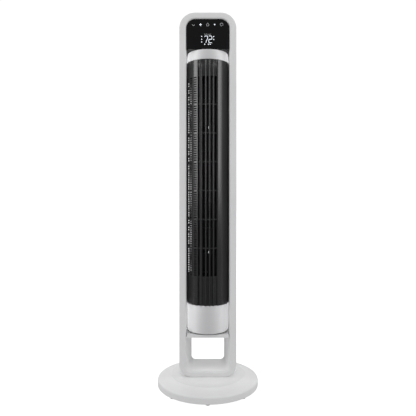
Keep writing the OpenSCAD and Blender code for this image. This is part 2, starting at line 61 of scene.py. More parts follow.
FRONT_Y, SPLIT_Y = span("frame_front_bezel", 1)
REAR_Y = span("frame_rear_shell", 1)[1]
LOOP_Z0, LOOP_Z1 = span("frame_front_bezel", 2)
LOOP_HALF = span("frame_front_bezel", 0)[1]
POCKET_HALF = span("pivot_shelf", 0)[1]
REBATE = 1.5 * MM          # step in the loop's inner face that holds the shelves
OPEN_HALF = POCKET_HALF - REBATE
LENS_LOW, LENS_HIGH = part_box("control_panel_lens")
CEILING_Z = LENS_HIGH[2]
SHELF_Z0 = span("pivot_shelf", 2)[0]
COLUMN_EXTRA = 1.2 * MM    # the shown column nearly fills the opening
COLUMN_R = -span("column_intake_grille", 0)[0] + COLUMN_EXTRA
COLUMN_Z0, COLUMN_Z1 = span("column_intake_grille", 2)
TRIM_EXTRA = 1.4 * MM
TRIM_R = span("top_collar", 0)[1] + TRIM_EXTRA
COLLAR_TOP = span("top_collar", 2)[1]
SKIRT_Z = span("bottom_skirt", 2)[0]
WHEEL_Z0, WHEEL_Z1 = span("impeller_wheel", 2)
WHEEL_R = span("impeller_wheel", 0)[1]

SILL = 16 * MM             # height of the loop below the carrying window
FLOOR_Z = LOOP_Z0 + SILL
OUT_TOP_R, OUT_BOTTOM_R = 42 * MM, 34 * MM
IN_TOP_R, IN_BOTTOM_R = 24 * MM, 15 * MM
WALL = 2.5 * MM
POCKET_Y = 18 * MM         # half depth of the pocket that the shelves sit in
RIB_Z0 = 306.8 * MM        # lowest cross rib of the outlet
BAY = 77.04 * MM           # from one cross rib to the next
BAYS = 7
SLOT_ROWS = 12             # rows of slots in a bay
SAME_POINT = 1e-6          # metres
SAME_MARK = 1e-9
SLACK = 1e-6               # keeps an exact multiple from being split once more


# ---------- mesh helpers ----------

def make(name, points, faces, sharp=35):
    """A mesh object with outward faces, smooth but for its sharp edges."""
    mesh = bpy.data.meshes.new(name)
    mesh.from_pydata([tuple(p) for p in points], [], faces)
    build = bmesh.new()
    build.from_mesh(mesh)
    bmesh.ops.remove_doubles(build, verts=build.verts, dist=SAME_POINT)
    bmesh.ops.recalc_face_normals(build, faces=build.faces)
    build.to_mesh(mesh)
    build.free()
    mesh.polygons.foreach_set("use_smooth", [True] * len(mesh.polygons))
    mesh.set_sharp_from_angle(angle=math.radians(sharp))
    obj = bpy.data.objects.new(name, mesh)
    bpy.context.scene.collection.objects.link(obj)
    return obj


class Shape:
    """Collects points and faces of one or more closed shells."""

    def __init__(self):
        self.points = []
        self.faces = []

    def add(self, points, faces):
        first = len(self.points)
        self.points += points
        self.faces += [tuple(first + i for i in face) for face in faces]
        return self

    def object(self, name, sharp=35):
        return make(name, self.points, self.faces, sharp)


def polar(angle, radius, z):
    """A point round the column's axis; the angle is in degrees from the front, positive to +X."""
    a = math.radians(angle)
    return (radius * math.sin(a), -radius * math.cos(a), z)


def strips(count, rows, closed_rows, closed_count):
    """Quads between rows of points that lie one after another, count points to a row."""
    faces = []
    for row in range(rows if closed_rows else rows - 1):
        below, above = row * count, (row + 1) % rows * count
        for i in range(count if closed_count else count - 1):
            j = (i + 1) % count
            faces.append((below + i, below + j, above + j, above + i))
    return faces


def turned(outline, start=0, stop=360, steps=180):
    """A closed outline of (radius, height), turned about the column's axis."""
    whole = stop - start >= 360
    rows = steps if whole else steps + 1
    points = [polar(start + (stop - start) * row / steps, r, z)
              for row in range(rows) for r, z in outline]
    faces = strips(len(outline), rows, whole, True)
    if not whole:
        faces.append(tuple(range(len(outline))))
        faces.append(tuple((rows - 1) * len(outline) + i for i in reversed(range(len(outline)))))
    return points, faces


def fillet(cx, cy, r, start, stop, steps=6):
    """Points of an arc in a flat outline."""
    turn = [math.radians(start + (stop - start) * i / steps) for i in range(steps + 1)]
    return [(cx + r * math.cos(t), cy + r * math.sin(t)) for t in turn]


def bar(outline, place, low, high):
    """An outline pushed along one direction; place(u, v, w) gives the point."""
    points = [place(u, v, w) for w in (low, high) for u, v in outline]
    n = len(outline)
    faces = strips(n, 2, False, True)
    faces.append(tuple(reversed(range(n))))
    faces.append(tuple(n + i for i in range(n)))
    return points, faces


def loop_path(half, z0, z1, r0, r1, corner=20):
    """A rectangle with round corners in XZ, with the same number of points at any size."""
    corners = ((half - r0, z0 + r0, r0, -90), (half - r1, z1 - r1, r1, 0),
               (r1 - half, z1 - r1, r1, 90), (r0 - half, z0 + r0, r0, 180))
    return [p for cx, cz, r, a in corners for p in fillet(cx, cz, r, a, a + 90, corner)]


def outside(inset):
    """The outer outline of the loop frame, drawn in."""
    return loop_path(LOOP_HALF - inset, LOOP_Z0 + inset, LOOP_Z1 - inset,
                     OUT_BOTTOM_R - inset, OUT_TOP_R - inset)


def inside(outset, half=None):
    """The opening of the loop frame, let out."""
    half = OPEN_HALF if half is None else half
    extra = half - OPEN_HALF
    return loop_path(half + outset, FLOOR_Z - outset, CEILING_Z + extra + outset,
                     IN_BOTTOM_R + outset, IN_TOP_R + extra + outset)


def ring_body(stations):
    """A closed ring through stations of (path in XZ, depth Y), the last joined to the first."""
    points = [(x, y, z) for path, y in stations for x, z in path]
    return points, strips(len(stations[0][0]), len(stations), True, True)


def perforated(angles, heights, is_hole, outer, inner):
    """A curved wall on a grid of angles and heights, with the cells that is_hole names left open.

    outer and inner give the wall's radii at an angle and a height.
    """
    na, nz = len(angles), len(heights)
    points = [polar(a, outer(a, z), z) for z in heights for a in angles]
    points += [polar(a, inner(a, z), z) for z in heights for a in angles]
    back = na * nz
    solid = [[not is_hole((angles[i] + angles[i + 1]) / 2, (heights[k] + heights[k + 1]) / 2)
              for i in range(na - 1)] for k in range(nz - 1)]

    def filled(i, k):
        return 0 <= i < na - 1 and 0 <= k < nz - 1 and solid[k][i]

    faces = []
    for k in range(nz - 1):
        for i in range(na - 1):
            if not solid[k][i]:
                continue
            p, q = k * na + i, (k + 1) * na + i
            faces.append((p, p + 1, q + 1, q))
            faces.append((back + p, back + q, back + q + 1, back + p + 1))
            if not filled(i - 1, k):
                faces.append((p, q, back + q, back + p))
            if not filled(i + 1, k):
                faces.append((p + 1, back + p + 1, back + q + 1, q + 1))
            if not filled(i, k - 1):
                faces.append((p, back + p, back + p + 1, p + 1))
            if not filled(i, k + 1):
                faces.append((q, q + 1, back + q + 1, back + q))
    return points, faces


def breaks(marks, largest):
    """The given marks in order, with even steps between them no larger than the limit."""
    marks = sorted(marks)
    result = [marks[0]]
    for a, b in zip(marks, marks[1:]):
        if b - a < SAME_MARK:
            continue
        n = max(1, math.ceil((b - a) / largest - SLACK))
        result += [a + (b - a) * i / n for i in range(1, n + 1)]
    return result


# ---------- camera ----------

CAMERA_PLACE = (0.0005, -1.322, 0.536)
CAMERA_TURN = (math.radians(90), 0, 0)     # level, looking along +Y
LENS = 41.11
SENSOR = 36
SHIFT = -0.04
FARTHEST = 50


def add_camera():
    """A level camera in front of the fan, at the height that fits the photographed outline."""
    data = bpy.data.cameras.new("camera")
    data.lens = LENS
    data.sensor_width = SENSOR
    data.shift_y = SHIFT
    data.clip_end = FARTHEST
    camera = bpy.data.objects.new("camera", data)
    camera.location = CAMERA_PLACE
    camera.rotation_euler = CAMERA_TURN
    bpy.context.scene.collection.objects.link(camera)
    bpy.context.scene.camera = camera


# ---------- light ----------

TENT = (0.61, 0.61, 0.615, 1)        # soft light all round, for diffuse surfaces
FILL = (0.25, 0.25, 0.255, 1)        # what glossy surfaces mirror between the lights
WHITE = (1, 1, 1, 1)
BACKDROP_STRENGTH = 1.05

# Area lights: name, place, target, width and height, watts, and the kind of shine they give.
LIGHTS = (
    ("left_strip", (-1.8, -0.78, 1.3), (0, 0, 0.62), (0.75, 1.7), 14, "gloss"),
    ("right_strip", (1.7, -0.9, 1.3), (0, 0, 0.62), (0.75, 1.7), 13, "gloss"),
    ("left_edge", (-2.0, 0.3, 1.2), (0, 0, 0.6), (1.7, 1.7), 16, "gloss"),
    ("right_edge", (2.0, 0.3, 1.2), (0, 0, 0.6), (1.7, 1.7), 16, "gloss"),
    ("left_trim", (-2.0, 0.4, 1.3), (0, 0, 0.6), (1.0, 1.6), 58, "matt"),
    ("right_trim", (2.0, 0.4, 1.3), (0, 0, 0.6), (1.0, 1.6), 48, "matt"),
    ("left_soft", (-2.2, -1.0, 2.4), (0, 0, 0.4), (1.2, 1.6), 16, "matt"),
    ("right_soft", (2.2, -1.0, 2.4), (0, 0, 0.4), (1.2, 1.6), 14, "matt"),
    ("front_fill", (0, -2.4, 2.6), (0, 0, 0.7), (2.4, 1.6), 4, "matt"),
    ("left_window", (-1.6, -0.9, 0.5), (0, 0, 0.1), (0.9, 0.9), 6, "matt"),
    ("right_window", (1.6, -0.9, 0.5), (0, 0, 0.1), (0.9, 0.9), 6, "matt"),
    ("left_base", (-0.8, 0.5, 0.32), (0, 0, 0), (0.4, 0.3), 2.5, "matt"),
    ("right_base", (0.8, 0.5, 0.32), (0, 0, 0), (0.4, 0.3), 1.9, "matt"),
    ("top_softbox", (0, -0.2, 2.8), (0, 0, 0.3), (1.6, 1.2), 1.5, "both"),
    ("back_softbox", (0, 2.4, 1.6), (0, 0, 0.5), (1.6, 1.6), 9, "both"),
)


def add_area(name, place, target, size, watts, kind):
    """A rectangular light that the camera doesn't see."""
    data = bpy.data.lights.new(name, "AREA")
    data.shape = "RECTANGLE"
    data.size, data.size_y = size
    data.energy = watts
    light = bpy.data.objects.new(name, data)
    light.location = place
    aim = Vector(target) - Vector(place)
    light.rotation_euler = aim.to_track_quat("-Z", "Y").to_euler()
    light.visible_camera = False
    light.visible_diffuse = kind != "gloss"
    light.visible_glossy = kind != "matt"
    bpy.context.scene.collection.objects.link(light)


def background(nodes, colour, strength=1.0):
    """One colour of the world."""
    node = nodes.new("ShaderNodeBackground")
    node.inputs["Color"].default_value = colour
    node.inputs["Strength"].default_value = strength
    return node.outputs[0]


def chosen(tree, ray, otherwise, when):
    """The world's second shader for one kind of ray and its first shader for the others."""
    node = tree.nodes.new("ShaderNodeMixShader")
    tree.links.new(ray, node.inputs["Fac"])
    tree.links.new(otherwise, node.inputs[1])
    tree.links.new(when, node.inputs[2])
    return node.outputs[0]


def add_world():
    """A white backdrop for the camera, a bright tent for diffuse light and a dim one for gloss."""
    world = bpy.data.worlds.new("studio")
    bpy.context.scene.world = world
    world.use_nodes = True
    tree = world.node_tree
    nodes = tree.nodes
    nodes.clear()
    output = nodes.new("ShaderNodeOutputWorld")
    path = nodes.new("ShaderNodeLightPath")
    fill = background(nodes, FILL)
    tent = background(nodes, TENT)
    backdrop = background(nodes, WHITE, BACKDROP_STRENGTH)
    dim = chosen(tree, path.outputs["Is Diffuse Ray"], fill, tent)
    mix = chosen(tree, path.outputs["Is Camera Ray"], dim, backdrop)
    tree.links.new(mix, output.inputs["Surface"])


def add_lights():
    add_world()
    for light in LIGHTS:
        add_area(*light)


def light_alone(lights, pieces):
    """Lets lights shine on a few pieces only, past the loop that would shade them."""
    group = bpy.data.collections.new("lit_by_" + lights[0])
    for piece in pieces:
        group.objects.link(piece)
    for name in lights:
        linking = bpy.data.objects[name].light_linking
        linking.receiver_collection = group
        linking.blocker_collection = group


FLOOR_HALF = 12.0
FLOOR_GLOW = 0.86
FLOOR_GREY = (0.45, 0.45, 0.45, 1)


def add_floor():
    """A pale floor that glows a little, so that it meets the backdrop without a line."""
    h = FLOOR_HALF
    mesh = bpy.data.meshes.new("floor")
    mesh.from_pydata([(-h, -h, 0), (h, -h, 0), (h, h, 0), (-h, h, 0)], [], [(0, 1, 2, 3)])
    floor = bpy.data.objects.new("floor", mesh)
    bpy.context.scene.collection.objects.link(floor)
    mat = bpy.data.materials.new("floor_white")
    mat.use_nodes = True
    nodes, links = mat.node_tree.nodes, mat.node_tree.links
    nodes.clear()
    output = nodes.new("ShaderNodeOutputMaterial")
    add = nodes.new("ShaderNodeAddShader")
    glow = nodes.new("ShaderNodeEmission")
    glow.inputs["Strength"].default_value = FLOOR_GLOW
    paper = nodes.new("ShaderNodeBsdfDiffuse")
    paper.inputs["Color"].default_value = FLOOR_GREY
    links.new(glow.outputs[0], add.inputs[0])
    links.new(paper.outputs[0], add.inputs[1])
    links.new(add.outputs[0], output.inputs["Surface"])
    floor.data.materials.append(mat)
    floor.visible_diffuse = False
    floor.visible_glossy = False


# ---------- materials ----------

class Nodes:
    """A material's node tree with short ways to add what most of the materials here need."""

    def __init__(self, name, colour, roughness, metallic=0.0, **sockets):
        self.mat = bpy.data.materials.new(name)
        self.mat.use_nodes = True
        self.tree = self.mat.node_tree
        self.shader = self.tree.nodes["Principled BSDF"]
        self.shader.inputs["Base Color"].default_value = (*colour, 1)
        self.shader.inputs["Roughness"].default_value = roughness
        self.shader.inputs["Metallic"].default_value = metallic
        for key, value in sockets.items():
            self.shader.inputs[key.replace("_", " ")].default_value = value
        self.place = self.tree.nodes.new("ShaderNodeTexCoord").outputs["Object"]
        self.normal = None

    def link(self, a, b):
        self.tree.links.new(a, b)

    def stretched(self, scale):
        """The place scaled by a different amount along each axis."""
        node = self.tree.nodes.new("ShaderNodeMapping")
        node.inputs["Scale"].default_value = scale
        self.link(self.place, node.inputs["Vector"])
        return node.outputs[0]

    def noise(self, scale, detail=3.0, rough=0.5, at=None):
        node = self.tree.nodes.new("ShaderNodeTexNoise")
        node.inputs["Scale"].default_value = scale
        node.inputs["Detail"].default_value = detail
        node.inputs["Roughness"].default_value = rough
        self.link(at or self.place, node.inputs["Vector"])
        return node.outputs["Fac"]

    def cells(self, scale, at=None):
        node = self.tree.nodes.new("ShaderNodeTexVoronoi")
        node.inputs["Scale"].default_value = scale
        self.link(at or self.place, node.inputs["Vector"])
        return node.outputs["Distance"]

    def ramp(self, value, low, high, start=0.3, stop=0.7):
        """Maps a value onto colours between low and high."""
        node = self.tree.nodes.new("ShaderNodeValToRGB")
        node.color_ramp.elements[0].position = start
        node.color_ramp.elements[0].color = (*low, 1)
        node.color_ramp.elements[1].position = stop
        node.color_ramp.elements[1].color = (*high, 1)
        self.link(value, node.inputs["Fac"])
        return node.outputs["Color"]

    def spread(self, value, low, high, start=0.3, stop=0.7):
        """Maps a value onto numbers between low and high."""
        node = self.tree.nodes.new("ShaderNodeMapRange")
        limits = {"From Min": start, "From Max": stop, "To Min": low, "To Max": high}
        for key, number in limits.items():
            node.inputs[key].default_value = number
        self.link(value, node.inputs["Value"])
        return node.outputs[0]

    def beyond(self, near, far, low, high):
        """A number that goes from low to high with the distance from the column's axis."""
        flat = self.tree.nodes.new("ShaderNodeVectorMath")
        flat.operation = "MULTIPLY"
        flat.inputs[1].default_value = (1, 1, 0)
        self.link(self.place, flat.inputs[0])
        length = self.tree.nodes.new("ShaderNodeVectorMath")
        length.operation = "LENGTH"
        self.link(flat.outputs[0], length.inputs[0])
        return self.spread(length.outputs["Value"], low, high, near, far)

    def larger(self, a, b):
        """The larger of two numbers."""
        node = self.tree.nodes.new("ShaderNodeMath")
        node.operation = "MAXIMUM"
        self.link(a, node.inputs[0])
        self.link(b, node.inputs[1])
        return node.outputs[0]

    def colour(self, value, low, high, **limits):
        self.link(self.ramp(value, low, high, **limits), self.shader.inputs["Base Color"])
        return self

    def gloss(self, value, low, high):
        self.link(self.spread(value, low, high), self.shader.inputs["Roughness"])
        return self

    def bump(self, value, strength, distance):
        node = self.tree.nodes.new("ShaderNodeBump")
        node.inputs["Strength"].default_value = strength
        node.inputs["Distance"].default_value = distance
        self.link(value, node.inputs["Height"])
        if self.normal:
            self.link(self.normal, node.inputs["Normal"])
        self.normal = node.outputs["Normal"]
        self.link(self.normal, self.shader.inputs["Normal"])
        return self


def white_plastic():
    """Moulded ABS with a very fine grain and the faint unevenness of a big moulding."""
    n = Nodes("white_plastic", (0.8, 0.8, 0.8), 0.42, Specular_IOR_Level=0.45)
    n.colour(n.noise(9, 2), (0.765, 0.765, 0.768), (0.80, 0.80, 0.80))
    n.gloss(n.noise(60, 4), 0.38, 0.48)
    n.bump(n.noise(14, 2), 0.05, 0.002)
    n.bump(n.noise(2600, 2, 0.6), 0.10, 0.00006)
    return n.mat


def silver_trim():
    """Satin silver-white paint with fine flakes."""
    n = Nodes("silver_trim", (0.54, 0.54, 0.55), 0.5, Specular_IOR_Level=0.4,
              Sheen_Weight=0.2, Sheen_Roughness=0.45)
    n.colour(n.cells(1800), (0.56, 0.56, 0.57), (0.63, 0.63, 0.635), start=0.1, stop=0.6)
    n.gloss(n.noise(40, 3), 0.42, 0.5)
    n.bump(n.noise(3000, 2), 0.06, 0.00004)
    return n.mat


RECESS_FROM, RECESS_TO = COLUMN_R - 2.1 * MM, COLUMN_R - 1.2 * MM


def black_gloss():
    """Glossy black ABS with faint flow marks; what lies under the column's round face is matt."""
    n = Nodes("black_gloss", (0.012, 0.012, 0.013), 0.25, Specular_IOR_Level=0.8)
    n.colour(n.noise(12, 3), (0.010, 0.010, 0.011), (0.016, 0.016, 0.017))
    polish = n.spread(n.noise(30, 4, at=n.stretched((1, 1, 0.15))), 0.20, 0.30)
    recess = n.beyond(RECESS_FROM, RECESS_TO, 0.9, 0.0)
    n.link(n.larger(polish, recess), n.shader.inputs["Roughness"])
    n.bump(n.noise(10, 2, at=n.stretched((3, 3, 0.5))), 0.04, 0.001)
    n.bump(n.noise(1900, 2), 0.04, 0.00004)
    return n.mat


def black_matte():
    """Matt black plastic of the parts inside."""
    n = Nodes("black_matte", (0.03, 0.03, 0.031), 0.6)
    n.colour(n.noise(25, 3), (0.010, 0.010, 0.0105), (0.018, 0.018, 0.0185))
    n.gloss(n.noise(80, 3), 0.5, 0.68)
    n.bump(n.noise(1500, 3), 0.2, 0.00008)
    return n.mat


def panel_lens():
    """Polished smoked acrylic of the control panel."""
    n = Nodes("panel_lens", (0.006, 0.006, 0.007), 0.08, Specular_IOR_Level=0.34)
    n.colour(n.noise(18, 2), (0.002, 0.002, 0.0025), (0.004, 0.004, 0.0045))
    n.gloss(n.noise(45, 5), 0.06, 0.13)
    n.bump(n.noise(8, 1), 0.02, 0.0006)
    return n.mat


def shade(colour, factor):
    """A colour made darker or lighter, and never above white."""
    return tuple(min(1, factor * c) for c in colour)


def lit(name, colour, strength):
    """A mark lit from behind, a little uneven as a diffuser is."""
    n = Nodes(name, (0.7, 0.72, 0.74), 0.4, Emission_Strength=strength)
    glow = n.ramp(n.noise(420, 2), shade(colour, 0.82), colour)
    n.link(glow, n.shader.inputs["Emission Color"])
    n.bump(n.noise(900, 2), 0.05, 0.00005)
    return n.mat


def printed():
    """Pale grey screen print of the touch marks."""
    n = Nodes("icon_print", (0.6, 0.61, 0.62), 0.45)
    n.colour(n.noise(700, 3), (0.54, 0.55, 0.56), (0.66, 0.67, 0.68))
    n.bump(n.noise(1800, 2), 0.1, 0.00003)
    return n.mat


def rubber():
    """Pale grey rubber of feet and buffers."""
    n = Nodes("rubber", (0.42, 0.42, 0.42), 0.75, Specular_IOR_Level=0.3)
    n.colour(n.noise(60, 4), (0.38, 0.38, 0.38), (0.46, 0.46, 0.455))
    n.gloss(n.noise(120, 3), 0.66, 0.82)
    n.bump(n.noise(1300, 4), 0.3, 0.0001)
    return n.mat


def brushed_steel():
    """Turned or drawn steel, with its grain along Z."""
    grey = (0.5, 0.5, 0.5)
    n = Nodes("steel", grey, 0.32, 1.0)
    grain = n.noise(220, 4, at=n.stretched((12, 12, 0.6)))
    n.colour(grain, shade(grey, 0.86), shade(grey, 1.1))
    n.gloss(grain, 0.24, 0.42)
    n.bump(grain, 0.12, 0.00004)
    return n.mat


def cast_weight():
    """Rough cast iron of the ballast."""
    n = Nodes("cast_weight", (0.1, 0.1, 0.105), 0.6, 0.5)
    n.colour(n.noise(50, 5), (0.07, 0.07, 0.075), (0.14, 0.135, 0.13))
    n.gloss(n.noise(90, 4), 0.5, 0.75)
    n.bump(n.noise(420, 5, 0.65), 0.5, 0.0004)
    return n.mat


def moulded(name, colour, rough=0.45, grain=0.12):
    """Plain moulded engineering plastic."""
    n = Nodes(name, colour, rough)
    n.colour(n.noise(30, 3), shade(colour, 0.93), shade(colour, 1.05))
    n.gloss(n.noise(70, 3), rough - 0.05, rough + 0.07)
    n.bump(n.noise(1400, 3), grain, 0.00006)
    return n.mat


def metal(name, colour, rough=0.35):
    """A plain metal with faint stains."""
    n = Nodes(name, colour, rough, 1.0)
    n.colour(n.noise(130, 4), shade(colour, 0.85), shade(colour, 1.08))
    n.gloss(n.noise(260, 3), rough - 0.08, rough + 0.1)
    n.bump(n.noise(900, 3), 0.12, 0.00005)
    return n.mat


def circuit_board():
    """Green solder mask over copper tracks."""
    n = Nodes("circuit_board", (0.03, 0.16, 0.06), 0.35, Coat_Weight=0.4, Coat_Roughness=0.2)
    tracks = n.cells(260, at=n.stretched((1, 1, 1.6)))
    n.colour(tracks, (0.02, 0.11, 0.045), (0.06, 0.24, 0.09), start=0.28, stop=0.34)
    n.gloss(n.noise(200, 2), 0.28, 0.42)
    n.bump(tracks, 0.2, 0.00006)
    return n.mat


MATERIALS = {
    "white_plastic": white_plastic(),
    "silver_trim": silver_trim(),
    "black_plastic": black_gloss(),
    "black_matte": black_matte(),
    "panel_lens": panel_lens(),
    "icon_print": printed(),
    "display": lit("display", (0.85, 0.93, 1.0), 1.0),
    "rubber": rubber(),
    "steel": brushed_steel(),
    "cast_weight": cast_weight(),
    "bronze": metal("bronze", (0.42, 0.26, 0.10), 0.4),
    "acetal": moulded("acetal", (0.78, 0.76, 0.69), 0.38),
    "circuit_board": circuit_board(),
    "spring_wire": metal("spring_wire", (0.62, 0.50, 0.22), 0.25),
    "grey_plastic": moulded("grey_plastic", (0.40, 0.41, 0.42)),
    "impeller": moulded("impeller", (0.009, 0.009, 0.0095), 0.55),
}


def finish_nodes():
    """Gives every CAD node its material."""
    for entry in frame["record"]["subparts"]:
        obj = frame["nodes"][entry["node"]]
        obj.data.materials.clear()
        obj.data.materials.append(MATERIALS[entry["material_slot"]])


def place(obj, body, slot, *replaced):
    """Puts a finished piece on its body, with its material and the nodes that it stands for."""
    obj.data.materials.append(MATERIALS[slot])
    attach(obj, body)
    if replaced:
        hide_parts(*replaced)
    return obj


# ---------- stand ----------

def flowing(points, steps=5):
    """An open line through the points, smooth in between."""
    ends = [points[0]] + points + [points[-1]]
    result = []
    for a, b, c, d in zip(ends, ends[1:], ends[2:], ends[3:]):
        for i in range(steps):
            t = i / steps
            result.append(tuple(0.5 * (2 * q + (r - p) * t + (2 * p - 5 * q + 4 * r - s) * t ** 2
                                       + (3 * q - p - 3 * r + s) * t ** 3)
                                for p, q, r, s in zip(a, b, c, d)))
    return result + [points[-1]]


def in_metres(outline):
    """An outline given in millimetres."""
    return [(a * MM, b * MM) for a, b in outline]


def cut(obj, points, faces):
    """Takes a closed form out of a piece."""
    cutter = make("cutter", points, faces)
    knife = obj.modifiers.new("knife", "BOOLEAN")
    knife.object = cutter
    knife.solver = "EXACT"
    bpy.context.view_layer.update()
    graph = bpy.context.evaluated_depsgraph_get()
    mesh = bpy.data.meshes.new_from_object(obj.evaluated_get(graph))
    obj.modifiers.clear()
    obj.data = mesh
    bpy.data.objects.remove(cutter)
    return obj


# Profile of the base in millimetres, as (radius, height).
BASE_TOP = 37.5
STEP_R, STEP_RUN, STEP_DROP = 101, 23, 5.5       # foot, width and height of the soft step
STEP_MARKS = (0, 0.15, 0.3, 0.45, 0.6, 0.8, 1)
RING_LINE = [(136.0, 21.63), (125.0, 26.3), (114.0, 29.7), (102.0, 31.75)]
RIM_LINE = [(136, 4), (138.1, 4), (138.5, 4.4), (138.5, 9.4),
            (138.3, 9.6), (138.3, 10), (138.5, 10.2)]
SHOULDER = (133.5, 17.3, 5)                      # middle and radius of the rim's round shoulder
GROOVE = (101.4, 31.7)
UNDER_LINE = [(0, 35), (77, 35), (88, 33.6), (99.5, 29.2),
              (113, 26.3), (124, 21.9), (132, 17.4), (136, 12.6)]
GLAND_WALL = 0.9 * MM
GLAND_STEPS = 48


def gland_hole():
    """The round hole for the cord's gland, as a closed form."""
    low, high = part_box("cord_gland")
    middle = (low[2] + high[2]) / 2
    radius = (high[0] - low[0]) / 2 - GLAND_WALL
    turn = [2 * math.pi * i / GLAND_STEPS for i in range(GLAND_STEPS)]
    circle = [(radius * math.cos(t), radius * math.sin(t)) for t in turn]
    return bar(circle, lambda u, v, w: (u, w, middle + v), low[1], high[1] + 2 * MM)


def base_skin():
    """The base: a flat middle, a soft step down to a sloping ring, and a round shoulder."""
    plateau = [(STEP_R - STEP_RUN * t, BASE_TOP - STEP_DROP * (1 - t) ** 2) for t in STEP_MARKS]
    ring = flowing(RING_LINE, 6)
    over = RIM_LINE + fillet(*SHOULDER, 0, 60, 7) + ring[1:] + [GROOVE] + plateau + [(0, BASE_TOP)]
    base = make("base_skin", *turned(in_metres(over + UNDER_LINE), steps=256), 24)
    return place(cut(base, *gland_hole()), "stand", "white_plastic", "base_shell")


FEET = 8
FOOT_R = 6 * MM
FOOT_LINE = [(0, 0.5), (3.2, 0.5), (3.7, 0), (5.3, 0), (5.75, 0.25), (6, 0.8), (6, 4), (0, 4)]


def feet_skin():
    """Round rubber pads with a worn edge and a dished middle."""
    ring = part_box("rubber_feet")[1][0] - FOOT_R
    points, faces = turned(in_metres(FOOT_LINE), steps=40)
    feet = Shape()
    for k in range(FEET):
        x, y, _ = polar(360 * k / FEET, ring, 0)
        feet.add([(px + x, py + y, pz) for px, py, pz in points], faces)
    return place(feet.object("feet_skin"), "stand", "rubber", "rubber_feet")


# Edges of the loop's shells in millimetres. The lines round the opening are (outset, depth).
BEZEL_ROUND, REAR_ROUND = 2.6 * MM, 3 * MM
BEZEL_LIP = ((4.6, 0), (4.1, 0.12), (2.2, 1.25), (0.5, 2.7), (0.1, 3.3), (0, 4))
REAR_LIP = ((3, 0), (1.2, 0.5), (0.3, 1.6), (0, 3))
PART_GAP, PART_DEPTH = 0.35 * MM, 0.5 * MM       # the groove where the two shells meet
LEDGE = 5.8 * MM
CORNER = 4 * MM
QUARTER = [math.radians(15 * i) for i in range(7)]


def shell_lip(face, way, line):
    """The shell's edge round the opening; way is 1 behind the front face and -1 before the rear."""
    return [(inside(out * MM), face + way * deep * MM) for out, deep in line]


def shell_hollow(face, way, split, bend, run):
    """The inner side of a shell, from the pocket for the shelves round to the parting plane."""
    lip = -way * POCKET_Y
    step = lip - way * WALL
    skin = face + way * WALL
    return [(inside(0), lip), (inside(REBATE), lip), (inside(REBATE), split),
            (inside(LEDGE), split), (inside(LEDGE), step), (inside(WALL), step),
            (inside(WALL), face + way * run), (inside(bend), skin),
            (outside(CORNER), skin), (outside(WALL), face + way * CORNER), (outside(WALL), split)]


def bezel_skin():
    """Front half of the loop: a round outer edge, a flat face and a chamfer round the opening."""
    r = BEZEL_ROUND
    edge = [(outside(r * (1 - math.cos(t))), FRONT_Y + r * (1 - math.sin(t))) for t in QUARTER]
    stations = [(outside(PART_GAP), SPLIT_Y), (outside(0), SPLIT_Y - PART_DEPTH)] + edge
    stations += shell_lip(FRONT_Y, 1, BEZEL_LIP)
    stations += shell_hollow(FRONT_Y, 1, SPLIT_Y, 5 * MM, 6 * MM)
    bezel = make("bezel_skin", *ring_body(stations), 28)
    return place(bezel, "stand", "white_plastic", "frame_front_bezel")


def rear_skin():
    """Rear half of the loop, with the parting line where it meets the front half."""
    r = REAR_ROUND
    edge = [(outside(r * (1 - math.sin(t))), REAR_Y - r * (1 - math.cos(t))) for t in QUARTER[::-1]]
    stations = [(outside(PART_GAP), SPLIT_Y), (outside(0), SPLIT_Y + PART_DEPTH)] + edge
    stations += shell_lip(REAR_Y, -1, REAR_LIP)
    stations += shell_hollow(REAR_Y, -1, SPLIT_Y, CORNER, CORNER)
    rear = make("rear_skin", *ring_body(stations), 28)
    return place(rear, "stand", "white_plastic", "frame_rear_shell")


LINER_FRONT = 3.5 * MM      # behind the front face
LINER_HALF = 45 * MM        # half width of the window at the rear
LINER_ROWS, LINER_CURVE = 25, 16
HUMP = 1.5 * MM             # rise of the floor's middle at the rear
SOFT, EVEN = 0.35, 0.65     # how the narrowing is shared between an S-curve and a straight line


def tunnel_section(half, floor, hump, r):
    """The window's sides and floor at one depth, from the upper left round to the upper right."""
    left = [(-half, SHELF_Z0)]
    left += [(-half, SHELF_Z0 + (floor + r - SHELF_Z0) * i / 6) for i in range(1, 6)]
    bend = [math.pi / 2 * i / LINER_CURVE for i in range(LINER_CURVE + 1)]
    left += [(r - half - r * math.cos(a), floor + r - r * math.sin(a)) for a in bend]
    path = left + [(-x, z) for x, z in reversed(left)]
    flat = half - r * 0.4
    return [(x, z + hump * max(0.0, 1 - (x / flat) ** 2) * (z < floor + r * 0.5)) for x, z in path]


def window_tunnel():
    """Lining of the carrying window, which narrows to the rear over a slightly humped floor."""
    y0, y1 = FRONT_Y + LINER_FRONT, REAR_Y
    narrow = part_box("window_liner")[1][0] - LINER_HALF
    outer = tunnel_section(OPEN_HALF - 0.05 * MM, FLOOR_Z + 0.05 * MM, 0, IN_BOTTOM_R)
    points = []
    for row in range(LINER_ROWS):
        t = row / (LINER_ROWS - 1)
        y = y0 + (y1 - y0) * t
        half = OPEN_HALF - 0.2 * MM - narrow * (t * t * (3 - 2 * t) * SOFT + t * EVEN)
        floor = FLOOR_Z + 0.25 * MM + 0.5 * MM * t
        inner = tunnel_section(half, floor, HUMP * t, 14.8 * MM - 3 * MM * t)
        points += [(x, y, z) for x, z in inner + outer[::-1]]
    n = len(points) // LINER_ROWS
    faces = strips(n, LINER_ROWS, False, True)
    for first in (0, (LINER_ROWS - 1) * n):
        last = first + n - 1
        faces += [(first + i, first + i + 1, last - 1 - i, last - i) for i in range(n // 2 - 1)]
    return place(make("window_tunnel", points, faces, 40), "stand", "white_plastic", "window_liner")


